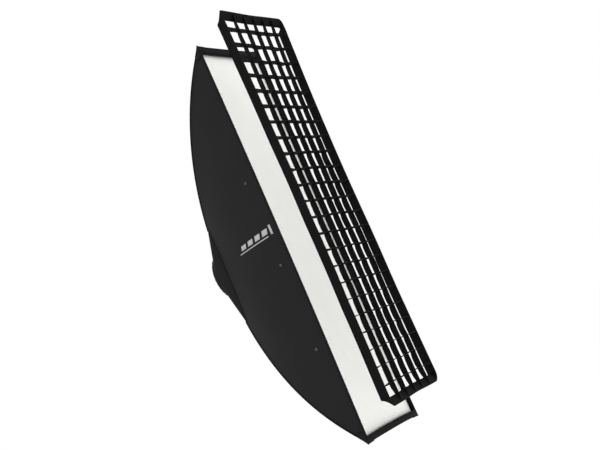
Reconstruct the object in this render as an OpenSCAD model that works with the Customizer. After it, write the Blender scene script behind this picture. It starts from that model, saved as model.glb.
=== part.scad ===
/* [Shell] */
// Width across the front rim
box_w = 300; // [220:1:400]
// Length of the front rim
box_l = 1200; // [900:1:1500]
// Distance from the front rim to the back face of the speedring
box_depth = 316; // [240:1:400]
// How far the rods bow outwards from a straight line
rod_bow = 55; // [30:1:70]
// Thickness of the black shell cloth
cloth_t = 1.5; // [1:0.1:3]
// Thickness of the silver lining
lining_t = 0.5; // [0.4:0.1:1]
// Free edge between a panel and the seam over a rod
seam_gap = 2; // [1.5:0.1:4]

/* [Front rim] */
// Width of the hem on the long sides
hem_side_w = 6; // [5:1:20]
// Width of the hem on the short ends
hem_end_w = 18; // [12:1:40]
// Thickness of the hem
hem_t = 3; // [2:0.5:5]
// How far the diffuser sits behind the rim
recess = 13; // [11:1:35]
// Width of the hook tape inside the rim
tape_w = 9; // [6:1:24]
// Thickness of hook or loop tape
tape_t = 1.4; // [0.8:0.1:2.5]

/* [Diffusers] */
// Thickness of the diffuser cloth
sheet_t = 0.8; // [0.5:0.1:2]
// Distance from the rim to the inner diffuser
baffle_depth = 70; // [55:1:120]
// Free space beside the inner diffuser
baffle_margin = 14; // [8:1:40]
// Width of an elastic tab
tab_w = 20; // [10:1:30]
// Number of press studs on each long side
stud_n = 3; // [2:1:5]
// Distance between press studs
stud_pitch = 252; // [150:1:280]
// Height of the middle of the row of press studs
stud_mid_z = -64; // [-100:1:100]
// Distance from the rim to the press studs
stud_depth = 42; // [34:1:60]
// Radius of a press stud
stud_r = 6; // [4:0.5:8]

/* [Rods] */
// Diameter of a rod
rod_d = 7; // [5:0.5:9]
// Depth of a rod's middle below the shell's surface
rod_inset = 8; // [7:0.5:12]
// Distance from the rim to a rod's end
rod_stop = 36; // [30:1:60]
// Length of the cap on a rod's end
tip_len = 6; // [4:1:12]
// Depth of a corner pocket
pocket_len = 26; // [15:1:40]

/* [Speedring] */
// Outer radius of the speedring
ring_r = 76; // [70:1:90]
// Radius of the hole that the insert turns in
ring_bore_r = 50; // [46:1:56]
// Thickness of the speedring
ring_t = 8; // [6:0.5:12]
// Distance from the axis to a rod socket, across and up
socket_x = 54; // [50:1:60]
// Length of a rod socket
socket_len = 26; // [18:1:34]
// Wall of a rod socket
socket_wall = 2.2; // [1.5:0.1:4]

/* [Bayonet insert] */
// Radius of the light opening
bore_r = 40.5; // [35:0.5:42]
// Outer radius of the bayonet neck
neck_r = 44; // [43:0.5:45.5]
// Length of the bayonet neck
neck_len = 12; // [8:0.5:16]
// Height of a bayonet lug
lug_h = 4.5; // [3:0.5:6]
// Angle that a bayonet lug covers
lug_angle = 34; // [20:1:50]
// Radial play between the insert and the speedring
spin_play = 0.05; // [0.02:0.01:0.1]

/* [Lock screw] */
// Radius of the lock screw
screw_r = 3; // [2.5:0.5:4]
// Radius of the lock screw's knob
knob_r = 10; // [8:0.5:14]
// Length of the knob
knob_len = 14; // [10:1:20]

/* [Collar] */
// Distance from the front of the collar to the back of the speedring
collar_len = 38; // [32:1:50]
// How far the collar reaches behind the speedring
collar_back = 2; // [1:0.5:6]
// Thickness of the collar cloth
collar_t = 1.8; // [1.2:0.1:3]

/* [Grid] */
// Width of the grid
grid_w = 292; // [200:1:390]
// Length of the grid
grid_l = 1160; // [860:1:1480]
// Depth of the grid's hem
grid_d = 27; // [20:1:50]
// Thickness of the grid's hem
grid_hem_t = 6; // [3:0.5:10]
// Width of the flat fold on the grid's short ends
end_fold_w = 24; // [12:1:30]
// Cells across the grid
cells_x = 6; // [3:1:8]
// Cells along the grid
cells_z = 24; // [12:1:30]
// Width of the cells beside the long hems
edge_cell_w = 52.5; // [40:0.5:60]
// Length of the cells beside the short hems
edge_cell_l = 51.5; // [40:0.5:60]
// Thickness of a grid strip
strip_t = 1.6; // [1:0.1:3]
// Depth of a grid strip
strip_d = 20; // [12:1:23]
// Sideways place of the loose grid
grid_off_x = -59; // [-100:1:0]
// Space between the rim and the loose grid
grid_gap = 120; // [60:1:200]
// Height of the loose grid above the box's middle
grid_off_z = 50; // [0:1:100]

/* [Hidden] */
$fn = 48;
rest_gap = 0.3;      // air between cloth parts that lie on each other
rod_play = 0.3;      // air around a rod in its socket
half_w = box_w / 2;
half_l = box_l / 2;
rim_y = -box_depth;
mount_y = -(ring_t + 9);     // where a rod leaves its socket
big = 2 * box_l;

// The arc that a rod follows, in its own plane: u runs outwards, y runs to the back.
span_x = half_w - socket_x;
span_z = half_l - socket_x;
span_u = norm([span_x, span_z]);
arc_a = [0, mount_y];
arc_b = [span_u, rim_y];
chord = norm(arc_b - arc_a);
arc_r = (chord * chord / 4 + rod_bow * rod_bow) / (2 * rod_bow);
arc_n = [arc_a[1] - arc_b[1], arc_b[0] - arc_a[0]] / chord;
arc_c = (arc_a + arc_b) / 2 - (arc_r - rod_bow) * arc_n;
function u_at(y, r = arc_r) = arc_c[0] + sqrt(r * r - (y - arc_c[1]) * (y - arc_c[1]));
function angle_at(y, r = arc_r) = asin((y - arc_c[1]) / r);
function shell_x(y) = socket_x + span_x * u_at(y) / span_u;
function shell_z(y) = socket_x + span_z * u_at(y) / span_u;

// A point of the shell's outline at depth y, moved inwards by off. span picks side or end panels.
function skin_point(span, y, off) =
  let(a = angle_at(y), k = span / span_u, t = [-k * sin(a), cos(a)], n = [t[1], -t[0]] / norm(t))
  [socket_x + k * u_at(y), y] - off * n;
profile_steps = 14;
over_cut = 12;
panel_back = -collar_len + 2;
function depth_step(i) = rim_y - over_cut + (panel_back - rim_y + 2 * over_cut) * i / profile_steps;
function skin_line(span, off) = [for (i = [0:profile_steps]) skin_point(span, depth_step(i), off)];
function reversed(list) = [for (i = [len(list) - 1:-1:0]) list[i]];

module layer_2d(span, from, to) {
  polygon(concat(skin_line(span, from), reversed(skin_line(span, to))));
}
module inside_2d(span, off) {
  line = skin_line(span, off);
  polygon(concat(line, [for (p = reversed(line)) [-p[0], p[1]]]));
}
// Space between two depths
module slab(y0, y1) {
  translate([-big / 2, y0, -big / 2]) cube([big, y1 - y0, big]);
}
slope = span_z / span_x;
apex_x = socket_x - socket_x / slope;
reach_x = half_w + 30;
reach_z = (reach_x - apex_x) * slope;
// Wedge between the two seams of the right side, kept clear of them by gap
module side_wedge(gap) {
  rotate([90, 0, 0]) linear_extrude(height = big, center = true)
    polygon([[apex_x + gap, 0], [reach_x + gap, reach_z], [reach_x + gap, -reach_z]]);
}
// Wedge between the two seams of the top end
module end_wedge(gap) {
  rotate([90, 0, 0]) linear_extrude(height = big, center = true)
    polygon([[gap - apex_x, 0], [apex_x - gap, 0], [reach_x - gap, reach_z], [gap - reach_x, reach_z]]);
}
module side_layer(from, to, y0, y1, gap = seam_gap) {
  intersection() {
    linear_extrude(height = big, center = true) layer_2d(span_x, from, to);
    side_wedge(gap);
    slab(y0, y1);
  }
}
module end_layer(from, to, y0, y1, gap = seam_gap) {
  intersection() {
    rotate([0, -90, 0]) linear_extrude(height = big, center = true) layer_2d(span_z, from, to);
    end_wedge(gap);
    slab(y0, y1);
  }
}
module inside_shell(off, y0, y1) {
  intersection() {
    linear_extrude(height = big, center = true) inside_2d(span_x, off);
    rotate([0, -90, 0]) linear_extrude(height = big, center = true) inside_2d(span_z, off);
    slab(y0, y1);
  }
}
module both_sides() {
  children();
  mirror([1, 0, 0]) children();
}
module both_ends() {
  children();
  mirror([0, 0, 1]) children();
}
module four_corners() {
  both_sides() both_ends() children();
}

// ---- Shell cloth ----
cloth_front = rim_y + hem_t;
module side_panel() { side_layer(0, cloth_t, cloth_front, panel_back); }
module end_panel() { end_layer(0, cloth_t, cloth_front, panel_back); }
module side_panel_left() { color([0.13, 0.13, 0.14]) mirror([1, 0, 0]) side_panel(); }
module side_panel_right() { color([0.13, 0.13, 0.14]) side_panel(); }
module end_panel_top() { color([0.12, 0.12, 0.13]) end_panel(); }
module end_panel_bottom() { color([0.12, 0.12, 0.13]) mirror([0, 0, 1]) end_panel(); }
lining_out = cloth_t + rest_gap / 3;
lining_in = lining_out + lining_t;
lining_front = rim_y + recess + sheet_t + 2;
module silver_lining() {
  color([0.75, 0.76, 0.78]) {
    both_sides() side_layer(lining_out, lining_in, lining_front, panel_back);
    both_ends() end_layer(lining_out, lining_in, lining_front, panel_back);
  }
}

// ---- A rod's own plane: X outwards, Y to the back ----
module rod_plane(shift = 0) {
  translate([socket_x - shift, 0, socket_x]) rotate([0, -atan2(span_z, span_x), 0]) children();
}
// Round bar on the rod's arc between two depths
module arc_bar(y_front, y_back, bar_r, inset) {
  r = arc_r - inset;
  a0 = angle_at(y_front, r);
  a1 = angle_at(y_back, r);
  translate([arc_c[0], arc_c[1], 0]) rotate([0, 0, a0]) rotate_extrude(angle = a1 - a0)
    translate([r, 0]) circle(r = bar_r);
}
binding_r = 1.6;
module seam_bindings() {
  color([0.09, 0.09, 0.1]) four_corners() rod_plane()
    arc_bar(cloth_front + binding_r, collar_front - binding_r, binding_r, binding_r / 2);
}
rod_shift = rod_inset - 1;
rod_back = mount_y - 8;
rod_front = rim_y + rod_stop;
module rod() {
  color([0.62, 0.63, 0.66]) rod_plane(rod_shift) arc_bar(rod_front, rod_back, rod_d / 2, rod_inset);
}
module rod_top_left() { mirror([1, 0, 0]) rod(); }
module rod_top_right() { rod(); }
module rod_bottom_left() { mirror([1, 0, 0]) mirror([0, 0, 1]) rod(); }
module rod_bottom_right() { mirror([0, 0, 1]) rod(); }
tip_wall = 0.4;              // skin of a cap around its rod
tip_r = rod_d / 2 + tip_wall;
tip_front = rod_front - tip_len * sin(45);
pocket_end = 1.5;
pocket_r = tip_r + rest_gap;
module rod_tips() {
  color([0.06, 0.06, 0.06]) four_corners() rod_plane(rod_shift)
    arc_bar(tip_front, rod_front, tip_r, rod_inset);
}
pocket_wall = 1.2;
module corner_pockets() {
  color([0.1, 0.1, 0.11]) four_corners() rod_plane(rod_shift) difference() {
    arc_bar(tip_front - pocket_end, tip_front + pocket_len * sin(45), pocket_r + pocket_wall, rod_inset);
    arc_bar(tip_front, tip_front + pocket_len, pocket_r, rod_inset);
  }
}

// ---- Front rim ----
module rim_frame(inner_w, inner_l, y0, y1, outer_w = box_w, outer_l = box_l) {
  difference() {
    translate([-outer_w / 2, y0, -outer_l / 2]) cube([outer_w, y1 - y0, outer_l]);
    translate([-inner_w / 2, y0 - 1, -inner_l / 2]) cube([inner_w, y1 - y0 + 2, inner_l]);
  }
}
rim_open_w = box_w - 2 * hem_side_w;
rim_open_l = box_l - 2 * hem_end_w;
module front_hem() { color([0.1, 0.1, 0.1]) rim_frame(rim_open_w, rim_open_l, rim_y, rim_y + hem_t); }
rim_tape_w = 6;
rim_tape_t = 0.8;
module rim_hook_tape() {
  color([0.05, 0.05, 0.05]) rim_frame(rim_open_w, rim_open_l, rim_y - rim_tape_t, rim_y,
    rim_open_w + 2 * rim_tape_w, rim_open_l + 2 * rim_tape_w);
}
tape_out = cloth_t + rest_gap;
tape_in = tape_out + tape_t;
tape_back = rim_y + recess;
tape_seam_gap = 14;
module inner_hook_tape() {
  color([0.05, 0.05, 0.05]) {
    both_sides() side_layer(tape_out, tape_in, tape_back - tape_w, tape_back, tape_seam_gap / slope);
    both_ends() end_layer(tape_out, tape_in, tape_back - tape_w, tape_back, tape_seam_gap);
  }
}

// ---- Diffusers ----
border_out = tape_in + rest_gap;
border_t = 1;
border_in = border_out + border_t;
border_w = 6;
module diffuser_border() {
  color([0.07, 0.07, 0.07]) {
    both_sides() side_layer(border_out, border_in, tape_back - border_w, tape_back, tape_seam_gap / slope);
    both_ends() end_layer(border_out, border_in, tape_back - border_w, tape_back, tape_seam_gap);
  }
}
module front_diffuser() {
  color([0.93, 0.93, 0.91]) inside_shell(border_out, tape_back, tape_back + sheet_t);
}
baffle_y = rim_y + baffle_depth;
baffle_w = 2 * (shell_x(baffle_y) - lining_in - baffle_margin);
baffle_l = 2 * (shell_z(baffle_y) - lining_in - 3 * baffle_margin);
module inner_diffuser() {
  color([0.95, 0.95, 0.94])
    translate([-baffle_w / 2, baffle_y, -baffle_l / 2]) cube([baffle_w, sheet_t, baffle_l]);
}
stud_y = rim_y + stud_depth;
stud_head_t = 2;
stud_z = [for (i = [0:stud_n - 1]) stud_mid_z + (i - (stud_n - 1) / 2) * stud_pitch];
stud_at = skin_point(span_x, stud_y, 0);
stud_dir = (stud_at - skin_point(span_x, stud_y, 1));
// Round button square to the side panel, from one depth under its surface to another
module stud_button(z, under0, under1, r) {
  p = stud_at - under1 * stud_dir;
  translate([p[0], p[1], z]) rotate([0, 0, atan2(stud_dir[1], stud_dir[0])]) rotate([0, 90, 0])
    cylinder(r = r, h = under1 - under0);
}
module press_stud_caps() {
  color([0.2, 0.2, 0.21]) both_sides() for (z = stud_z)
    stud_button(z, -stud_head_t, -0.1, stud_r);
}
socket_t = 2.4;
socket_under = lining_in + rest_gap;
module press_stud_sockets() {
  color([0.55, 0.55, 0.57]) both_sides() for (z = stud_z)
    stud_button(z, socket_under, socket_under + socket_t, stud_r - 1);
}
tab_t = 1;
tab_under = socket_under + socket_t + 0.1;
tab_root = stud_at - tab_under * stud_dir;
tab_end = [baffle_w / 2 + 0.2, baffle_y];
tab_foot_half = 4;           // half the sewn foot, along the panel
tab_foot = tab_foot_half * [-stud_dir[1], stud_dir[0]];
module baffle_tabs() {
  color([0.15, 0.15, 0.15]) both_sides() for (z = stud_z)
    translate([0, 0, z]) linear_extrude(height = tab_w, center = true)
      polygon([tab_root - tab_foot, tab_root + tab_foot, tab_end + [0, tab_t], tab_end]);
}

// ---- Speedring ----
module speedring_plate() {
  color([0.16, 0.16, 0.17]) difference() {
    rotate([90, 0, 0]) cylinder(r = ring_r, h = ring_t, $fn = 96);
    translate([0, 1, 0]) rotate([90, 0, 0]) cylinder(r = ring_bore_r, h = ring_t + 2, $fn = 96);
    translate([ring_bore_r - 2, -ring_t / 2, 0]) rotate([0, 90, 0])
      cylinder(r = screw_r, h = ring_r - ring_bore_r + 4);
  }
}
socket_r = rod_d / 2 + rod_play + socket_wall;
socket_tilt = 90 - angle_at(mount_y, arc_r - rod_inset);
pad_w = 2 * socket_r;
pad_back = 10;
pad_front = 2;
flange_w = 9;                // strip beside the tube that takes the screw
socket_flange_t = 3;
module rod_sockets() {
  color([0.3, 0.3, 0.32]) four_corners() rod_plane(rod_shift) difference() {
    union() {
      translate([0, mount_y - rod_inset, 0]) rotate([0, 0, -socket_tilt]) translate([-6, 0, 0])
        rotate([0, 90, 0]) cylinder(r = socket_r, h = socket_len + 6);
      translate([-pad_back, mount_y - rod_inset, -pad_w / 2])
        cube([pad_back + pad_front, -ring_t - mount_y + rod_inset, pad_w]);
      translate([-pad_back, -ring_t - socket_flange_t, 0])
        cube([pad_back + pad_front, socket_flange_t, pad_w / 2 + flange_w]);
    }
    arc_bar(rod_back - 30, rod_back, rod_d / 2 + rod_play, rod_inset);
  }
}
socket_screw_r = 2.8;
socket_screw_h = 2.2;
module socket_screws() {
  color([0.7, 0.7, 0.72]) four_corners() rod_plane(rod_shift)
    translate([(pad_front - pad_back) / 2, -ring_t - socket_flange_t, pad_w / 2 + flange_w / 2])
      rotate([90, 0, 0]) cylinder(r = socket_screw_r, h = socket_screw_h);
}

// ---- Bayonet insert ----
flange_r = ring_bore_r + 5;
flange_t = 3;
flange_gap = 0.2;
keeper_r = ring_bore_r + 4;
keeper_t = 2.5;
keeper_screw_r = 2.4;
keeper_screw_h = 1.5;
neck_end = flange_t + neck_len;
lug_t = 4;
module y_tube(r_out, r_in, y0, y1) {
  translate([0, y1, 0]) rotate([90, 0, 0]) difference() {
    cylinder(r = r_out, h = y1 - y0, $fn = 96);
    translate([0, 0, -1]) cylinder(r = r_in, h = y1 - y0 + 2, $fn = 96);
  }
}
module insert_ring() {
  color([0.72, 0.73, 0.75]) difference() {
    rotate([-90, 0, 0]) {
      translate([0, 0, -ring_t]) cylinder(r = ring_bore_r - spin_play, h = ring_t + 1, $fn = 96);
      translate([0, 0, flange_gap]) cylinder(r = flange_r, h = flange_t - flange_gap, $fn = 96);
      cylinder(r = neck_r, h = neck_end, $fn = 96);
      for (i = [0:2]) rotate([0, 0, i * 120]) translate([0, 0, neck_end - lug_t])
        rotate_extrude(angle = lug_angle, $fn = 96) translate([neck_r - 1, 0]) square([lug_h + 1, lug_t]);
    }
    translate([0, -ring_t - 1, 0]) rotate([-90, 0, 0])
      cylinder(r = bore_r, h = ring_t + neck_end + 2, $fn = 96);
  }
}
module retaining_ring() {
  color([0.5, 0.51, 0.53])
    y_tube(keeper_r, bore_r + 1, -ring_t - flange_gap - keeper_t, -ring_t - flange_gap);
}
module retaining_screws() {
  color([0.75, 0.75, 0.77]) for (i = [0:2]) rotate([0, i * 120 + 30, 0])
    translate([(keeper_r + bore_r) / 2, -ring_t - flange_gap - keeper_t - keeper_screw_h, 0])
      rotate([-90, 0, 0]) cylinder(r = keeper_screw_r, h = keeper_screw_h);
}

// ---- Lock screw ----
knob_x = ring_r + 8;
grip_r = 2.4;                // radius of a finger groove
grip_at = knob_r + 1.2;
screw_play = 0.05;
module lock_screw() {
  color([0.08, 0.08, 0.08]) translate([0, -ring_t / 2, 0]) rotate([0, 90, 0]) {
    translate([0, 0, ring_bore_r + rest_gap]) cylinder(r = screw_r - screw_play, h = knob_x - ring_bore_r - rest_gap);
    difference() {
      translate([0, 0, knob_x]) cylinder(r = knob_r, h = knob_len);
      for (i = [0:7]) rotate([0, 0, i * 45]) translate([grip_at, 0, knob_x - 1])
        cylinder(r = grip_r, h = knob_len + 2);
    }
  }
}

// ---- Rear collar ----
collar_front = -collar_len - 2;
collar_mouth = 5;            // straight part of the collar at the shell
collar_r = ring_r + rest_gap + collar_t;
module collar_form(grow) {
  hull() {
    x = shell_x(collar_front) + rest_gap + grow;
    z = shell_z(collar_front) + rest_gap + grow;
    translate([-x, collar_front, -z]) cube([2 * x, collar_mouth, 2 * z]);
    rotate([90, 0, 0]) cylinder(r = ring_r + rest_gap + grow, h = ring_t, $fn = 64);
  }
}
module rear_collar() {
  color([0.11, 0.11, 0.12]) difference() {
    union() {
      collar_form(collar_t);
      rotate([-90, 0, 0]) cylinder(r = collar_r, h = collar_back, $fn = 64);
    }
    collar_form(0);
    translate([0, -1, 0]) rotate([-90, 0, 0]) cylinder(r = ring_r + rest_gap, h = collar_back + 2, $fn = 64);
    translate([0, collar_front - 1, 0]) rotate([-90, 0, 0]) cylinder(r = shell_x(collar_front), h = 2);
    translate([ring_r - 6, -ring_t / 2, 0]) rotate([0, 90, 0]) cylinder(r = screw_r + 2, h = 20);
  }
}

// ---- Grid ----
grid_back = rim_y - rim_tape_t - grid_gap;
grid_front = grid_back - grid_d;
module grid_place() {
  translate([grid_off_x, 0, grid_off_z]) children();
}
grid_in_w = grid_w - 2 * grid_hem_t;
grid_in_l = grid_l - 2 * grid_hem_t;
corner_r = 14;
module grid_outline(w, l, r) {
  translate([r - w / 2, r - l / 2]) square([w - 2 * r, l - 2 * r]);
  for (sx = [-1, 1]) translate([sx * (w / 2 - r / 2) - r / 2, r - l / 2]) square([r, l - 2 * r]);
  for (sz = [-1, 1]) translate([r - w / 2, sz * (l / 2 - r / 2) - r / 2]) square([w - 2 * r, r]);
  for (sx = [-1, 1], sz = [-1, 1]) translate([sx * (w / 2 - r), sz * (l / 2 - r)]) circle(r = r);
}
module grid_ring(y0, y1, w, l, wall) {
  translate([0, y1, 0]) rotate([90, 0, 0]) linear_extrude(height = y1 - y0) difference() {
    grid_outline(w, l, corner_r);
    grid_outline(w - 2 * wall, l - 2 * wall, corner_r - wall);
  }
}
fold_t = 2.4;
// The outer band, with a flat fold in front of the first row of cells at each end
module grid_hem() {
  color([0.08, 0.08, 0.08]) grid_place() {
    grid_ring(grid_front, grid_back, grid_w, grid_l, grid_hem_t);
    translate([0, grid_front + fold_t, 0]) rotate([90, 0, 0]) linear_extrude(height = fold_t) difference() {
      grid_outline(grid_w, grid_l, corner_r);
      square([grid_w + 2, grid_l - 2 * end_fold_w], center = true);
    }
  }
}
module grid_loop_tape() {
  color([0.04, 0.04, 0.04]) grid_place()
    grid_ring(grid_back, grid_back + rim_tape_t, grid_w, grid_l, grid_hem_t - 1);
}
lap_play = 0.1;
strip_gap = 0.2;
pitch_x = (grid_in_w - 2 * edge_cell_w) / (cells_x - 2);
pitch_z = (grid_in_l - 2 * edge_cell_l) / (cells_z - 2);
strip_front = grid_front + fold_t + rest_gap;
lap_y = strip_front + strip_d / 2;
function strip_x(i) = edge_cell_w - grid_in_w / 2 + (i - 1) * pitch_x;
function strip_z(j) = edge_cell_l - grid_in_l / 2 + (j - 1) * pitch_z;
module grid_long_strips() {
  lap = strip_t + 2 * lap_play;
  color([0.06, 0.06, 0.06]) grid_place() for (i = [1:cells_x - 1]) difference() {
    translate([strip_x(i) - strip_t / 2, strip_front, -grid_in_l / 2 + strip_gap])
      cube([strip_t, strip_d, grid_in_l - 2 * strip_gap]);
    for (j = [1:cells_z - 1]) translate([strip_x(i) - strip_t, grid_front, strip_z(j) - lap / 2])
      cube([2 * strip_t, lap_y - grid_front + lap_play, lap]);
  }
}
module grid_cross_strips() {
  lap = strip_t + 2 * lap_play;
  color([0.05, 0.05, 0.05]) grid_place() for (j = [1:cells_z - 1]) difference() {
    translate([-grid_in_w / 2 + strip_gap, strip_front, strip_z(j) - strip_t / 2])
      cube([grid_in_w - 2 * strip_gap, strip_d, strip_t]);
    for (i = [1:cells_x - 1]) translate([strip_x(i) - lap / 2, lap_y - lap_play, strip_z(j) - strip_t])
      cube([lap, grid_back - lap_y + 1, 2 * strip_t]);
  }
}

side_panel_left();
side_panel_right();
end_panel_top();
end_panel_bottom();
silver_lining();
seam_bindings();
rear_collar();
front_hem();
rim_hook_tape();
inner_hook_tape();
corner_pockets();
front_diffuser();
diffuser_border();
inner_diffuser();
baffle_tabs();
press_stud_caps();
press_stud_sockets();
rod_top_left();
rod_top_right();
rod_bottom_left();
rod_bottom_right();
rod_tips();
speedring_plate();
rod_sockets();
socket_screws();
insert_ring();
retaining_ring();
retaining_screws();
lock_screw();
grid_hem();
grid_long_strips();
grid_cross_strips();
grid_loop_tape();
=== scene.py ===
import math

import bmesh
import bpy
import numpy as np
from mathutils import Matrix, Quaternion, Vector, noise


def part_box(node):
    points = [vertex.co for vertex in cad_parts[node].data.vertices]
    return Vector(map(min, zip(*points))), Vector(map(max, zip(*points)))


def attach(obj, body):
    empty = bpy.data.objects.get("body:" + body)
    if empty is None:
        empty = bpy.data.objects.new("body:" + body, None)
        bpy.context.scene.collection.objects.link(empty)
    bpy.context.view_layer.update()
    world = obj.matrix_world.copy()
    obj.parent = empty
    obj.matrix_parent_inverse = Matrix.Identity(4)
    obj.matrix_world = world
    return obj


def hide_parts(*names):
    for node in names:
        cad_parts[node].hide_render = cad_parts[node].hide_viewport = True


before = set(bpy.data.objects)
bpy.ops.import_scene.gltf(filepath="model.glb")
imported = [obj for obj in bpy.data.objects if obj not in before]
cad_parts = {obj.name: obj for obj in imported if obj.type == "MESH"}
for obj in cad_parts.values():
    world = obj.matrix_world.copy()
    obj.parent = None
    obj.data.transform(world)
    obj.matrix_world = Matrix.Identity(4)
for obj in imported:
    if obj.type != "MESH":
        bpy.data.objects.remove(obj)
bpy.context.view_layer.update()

# ---- Camera ----
# The box is seen from its left, from a little under its middle, with a normal lens. The
# camera is rolled, so that the strip leans.
camera_place = Vector((-2.4175, -1.7913, -0.4026))
camera_azimuth = math.radians(58.30)
camera_rise = math.radians(8.72)
camera_roll = math.radians(-23.54)
camera_data = bpy.data.cameras.new("camera")
camera_data.sensor_width = 36
camera_data.lens = 59.66
camera = bpy.data.objects.new("camera", camera_data)
look = Vector((
    math.sin(camera_azimuth) * math.cos(camera_rise),
    math.cos(camera_azimuth) * math.cos(camera_rise),
    math.sin(camera_rise),
))
camera.rotation_mode = "QUATERNION"
camera.rotation_quaternion = look.to_track_quat("-Z", "Y") @ Quaternion((0, 0, 1), camera_roll)
camera.location = camera_place
bpy.context.collection.objects.link(camera)
bpy.context.scene.camera = camera

# ---- Studio ----
# A wide pale floor well under the box, which hangs on its flash head, and an even white
# surround with two large soft lights.
world = bpy.data.worlds.new("studio")
world.use_nodes = True
world.node_tree.nodes["Background"].inputs["Color"].default_value = (1.0, 1.0, 1.0, 1)
world.node_tree.nodes["Background"].inputs["Strength"].default_value = 1.0
bpy.context.scene.world = world
bpy.context.scene.view_settings.view_transform = "Standard"

floor_mesh = bpy.data.meshes.new("floor")
floor_bm = bmesh.new()
bmesh.ops.create_grid(floor_bm, x_segments=1, y_segments=1, size=60)
bmesh.ops.translate(floor_bm, verts=floor_bm.verts, vec=(0, 0, -1.6))
floor_bm.to_mesh(floor_mesh)
floor_bm.free()
floor = bpy.data.objects.new("floor", floor_mesh)
bpy.context.collection.objects.link(floor)
floor_paint = bpy.data.materials.new("pale_floor")
floor_paint.use_nodes = True
floor_shader = floor_paint.node_tree.nodes["Principled BSDF"]
floor_shader.inputs["Base Color"].default_value = (1.0, 1.0, 1.0, 1)
floor_shader.inputs["Roughness"].default_value = 1.0
floor_shader.inputs["Specular IOR Level"].default_value = 0.0
floor_mesh.materials.append(floor_paint)


def soft_light(name, place, target, size, power):
    lamp = bpy.data.lights.new(name, "AREA")
    lamp.size = size
    lamp.energy = power
    holder = bpy.data.objects.new(name, lamp)
    holder.location = place
    holder.rotation_mode = "QUATERNION"
    holder.rotation_quaternion = (Vector(target) - Vector(place)).to_track_quat("-Z", "Y")
    bpy.context.collection.objects.link(holder)


soft_light("key_light", (-1.6, -3.2, 2.2), (0, -0.2, 0), 2.4, 60)
soft_light("fill_light", (-3.4, 1.2, 0.8), (0, 0, 0.1), 2.0, 18)

# ---- Cloth weave ----
# Every cloth here is a plain weave of fine threads. The group gives the height of its
# crossing threads and a slow mottle, the way that stretched cloth takes the light.
weave = bpy.data.node_groups.new("plain_weave", "ShaderNodeTree")
weave.interface.new_socket("Place", in_out="INPUT", socket_type="NodeSocketVector")
weave.interface.new_socket("Threads", in_out="INPUT", socket_type="NodeSocketFloat")
weave.interface.new_socket("Mottle Size", in_out="INPUT", socket_type="NodeSocketFloat")
weave.interface.new_socket("Height", in_out="OUTPUT", socket_type="NodeSocketFloat")
weave.interface.new_socket("Mottle", in_out="OUTPUT", socket_type="NodeSocketFloat")


def math_node(tree, operation, first, second=None):
    made = tree.nodes.new("ShaderNodeMath")
    made.operation = operation
    for at, value in enumerate((first, second)):
        if value is None:
            continue
        if isinstance(value, (int, float)):
            made.inputs[at].default_value = value
        else:
            tree.links.new(value, made.inputs[at])
    return made.outputs[0]


def build_weave(tree):
    given = tree.nodes.new("NodeGroupInput")
    result = tree.nodes.new("NodeGroupOutput")
    split = tree.nodes.new("ShaderNodeSeparateXYZ")
    tree.links.new(given.outputs["Place"], split.inputs[0])
    waves = []
    for axis in ("X", "Y"):
        turns = math_node(tree, "MULTIPLY", split.outputs[axis], given.outputs["Threads"])
        waves.append(math_node(tree, "SINE", math_node(tree, "MULTIPLY", turns, math.pi)))
    crossing = math_node(tree, "MULTIPLY", waves[0], waves[1])
    lifted = math_node(tree, "ADD", math_node(tree, "MULTIPLY", crossing, 0.5), 0.5)
    tree.links.new(lifted, result.inputs["Height"])
    blotch = tree.nodes.new("ShaderNodeTexNoise")
    blotch.inputs["Detail"].default_value = 4.0
    tree.links.new(given.outputs["Place"], blotch.inputs["Vector"])
    tree.links.new(given.outputs["Mottle Size"], blotch.inputs["Scale"])
    tree.links.new(blotch.outputs["Fac"], result.inputs["Mottle"])


build_weave(weave)


cloth_specular = 0.12


def cloth_material(name, dark, light, roughness, threads, bump, sheen=0.0, place="UV", metallic=0.0):
    """A woven cloth whose colour drifts between dark and light, with its threads as bump."""
    made = bpy.data.materials.new(name)
    made.use_nodes = True
    tree = made.node_tree
    shader = tree.nodes["Principled BSDF"]
    shader.inputs["Roughness"].default_value = roughness
    shader.inputs["Metallic"].default_value = metallic
    shader.inputs["Sheen Weight"].default_value = sheen
    shader.inputs["Sheen Roughness"].default_value = 0.5
    shader.inputs["Specular IOR Level"].default_value = cloth_specular
    where = tree.nodes.new("ShaderNodeTexCoord")
    threads_node = tree.nodes.new("ShaderNodeGroup")
    threads_node.node_tree = weave
    threads_node.inputs["Threads"].default_value = threads
    threads_node.inputs["Mottle Size"].default_value = 9.0
    tree.links.new(where.outputs[place], threads_node.inputs["Place"])
    ramp = tree.nodes.new("ShaderNodeMix")
    ramp.data_type = "RGBA"
    ramp.inputs["A"].default_value = (*dark, 1)
    ramp.inputs["B"].default_value = (*light, 1)
    tree.links.new(threads_node.outputs["Mottle"], ramp.inputs["Factor"])
    tree.links.new(ramp.outputs["Result"], shader.inputs["Base Color"])
    relief = tree.nodes.new("ShaderNodeBump")
    relief.inputs["Distance"].default_value = bump
    relief.inputs["Strength"].default_value = 0.6
    tree.links.new(threads_node.outputs["Height"], relief.inputs["Height"])
    tree.links.new(relief.outputs["Normal"], shader.inputs["Normal"])
    return made


# ---- Shell panels ----
# Four panels of black coated polyester, cut to a curve and sewn over the four rods. The
# rods' bow holds them taut, so each panel draws in a little between its two seams.
rim_low, rim_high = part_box("front_hem")
rim_y = rim_low.y
half_w, half_l = rim_high.x, rim_high.z
rod_socket = 0.054
rod_mount_y = -0.017
rod_bow = 0.055
shell_back_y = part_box("side_panel_left")[1].y
side_waist = 0.007
end_waist = 0.003
shell_black = cloth_material("shell_cloth", (0.0032, 0.0032, 0.0036), (0.0064, 0.0064, 0.0071), 0.60,
                             1500, 0.00012, 0.03)

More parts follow.
